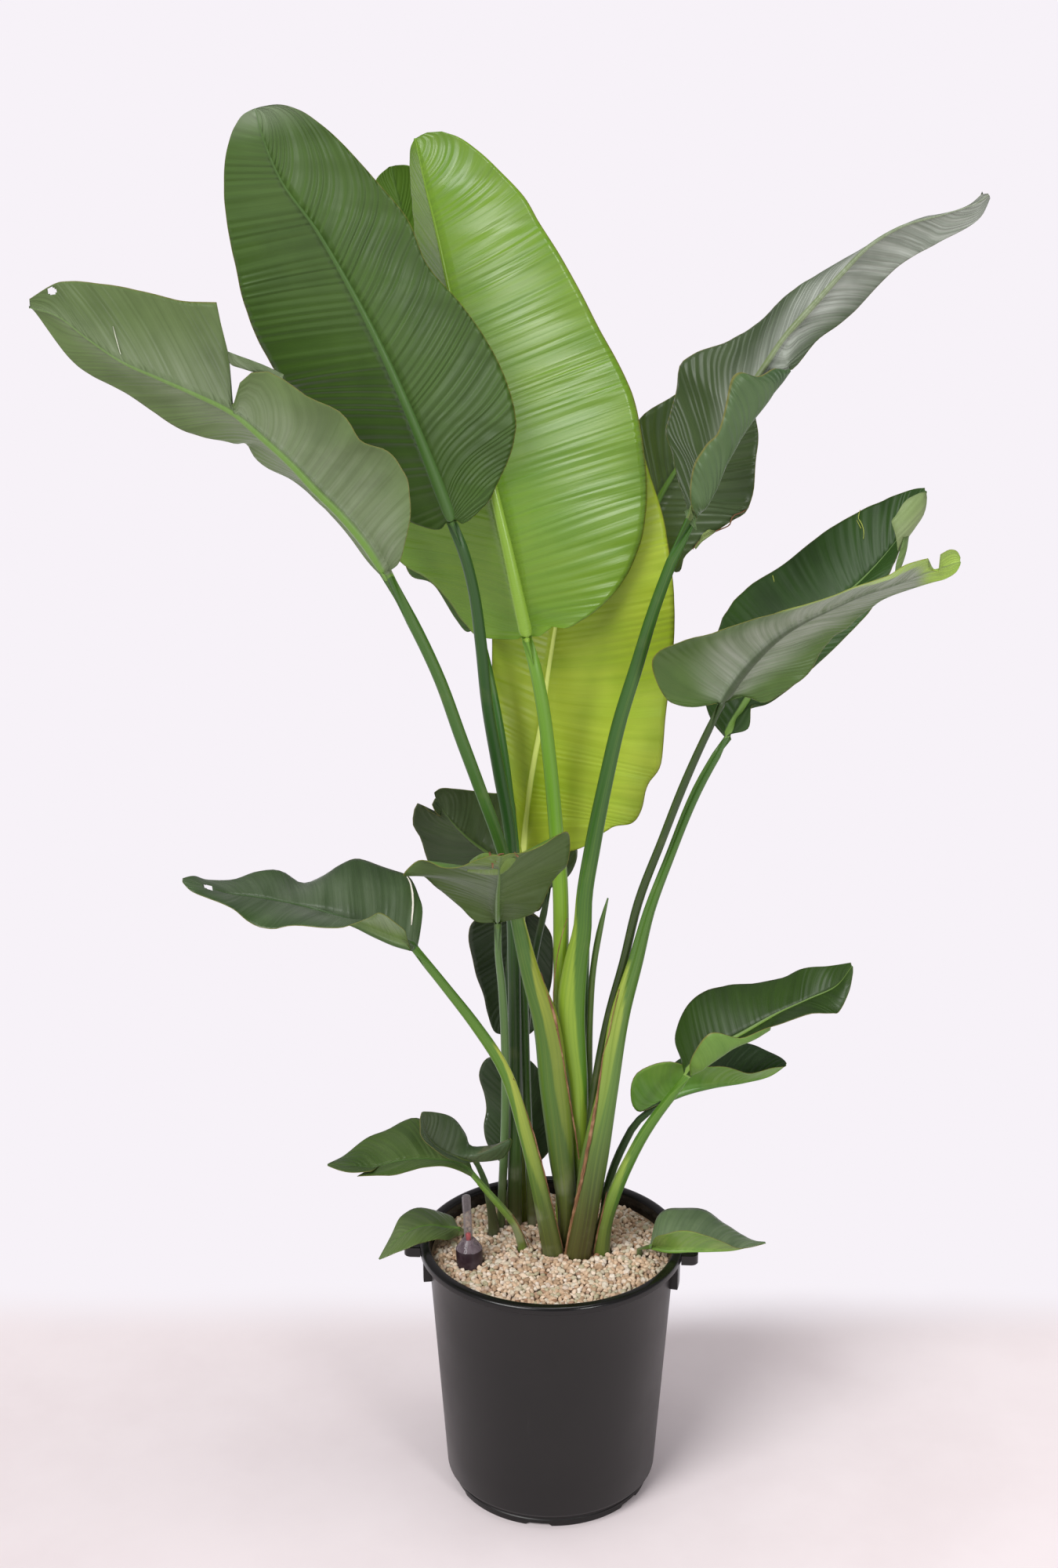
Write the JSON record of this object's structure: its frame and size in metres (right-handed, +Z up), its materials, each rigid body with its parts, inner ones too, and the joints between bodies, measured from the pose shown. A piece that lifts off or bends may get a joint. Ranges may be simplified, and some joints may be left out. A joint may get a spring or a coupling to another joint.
{
  "type": "potted bird of paradise plant",
  "caption": "Clump of tall paddle-shaped leaves on long petioles, rooted in pumice in a tapered black grow pot with lift lugs and a water level indicator.",
  "frame": {"origin": "on the pot's axis at floor level, at the centre of the flat underside", "axes": "+Z up along the pot's axis; -Y is the side the plant is seen from; +X to the right, towards the right lift lug"},
  "size_m": [1.0356, 0.3669, 1.7393],
  "materials": {
    "pot_plastic": "satin moulded",
    "pumice": "granular, dry",
    "indicator_tint": "tinted, translucent",
    "sight_tube_clear": "clear",
    "float_red": "smooth",
    "leaf_dark": "waxy, veined",
    "leaf_mid": "waxy, veined",
    "leaf_pale": "waxy, veined",
    "leaf_new": "soft gloss, veined",
    "leaf_under": "matt bloom, veined"
  },
  "bodies": {
    "root": {"pot": "pot_plastic", "substrate": "pumice", "indicator_casing": "indicator_tint", "indicator_sight_tube": "sight_tube_clear", "indicator_float": "float_red", "leaf_tall_left": "leaf_dark", "leaf_left_drooping": "leaf_under", "leaf_tall_light": "leaf_pale", "leaf_new_bright": "leaf_new", "leaf_hidden_left": "leaf_mid", "leaf_right_twisted": "leaf_under", "leaf_dark_right": "leaf_dark", "leaf_cupped_front": "leaf_under", "leaf_arching_left": "leaf_mid", "leaf_low_right": "leaf_mid", "leaf_low_right_back": "leaf_dark", "leaf_small_left": "leaf_mid", "leaf_small_folded": "leaf_mid", "leaf_rim_left": "leaf_pale", "leaf_rim_right": "leaf_pale", "leaf_dark_left": "leaf_dark", "leaf_hanging_back": "leaf_dark", "leaf_low_back": "leaf_mid", "leaf_right_front": "leaf_under", "leaf_right_dark": "leaf_dark", "leaf_spear": "leaf_new"}
  },
  "joints": []
}
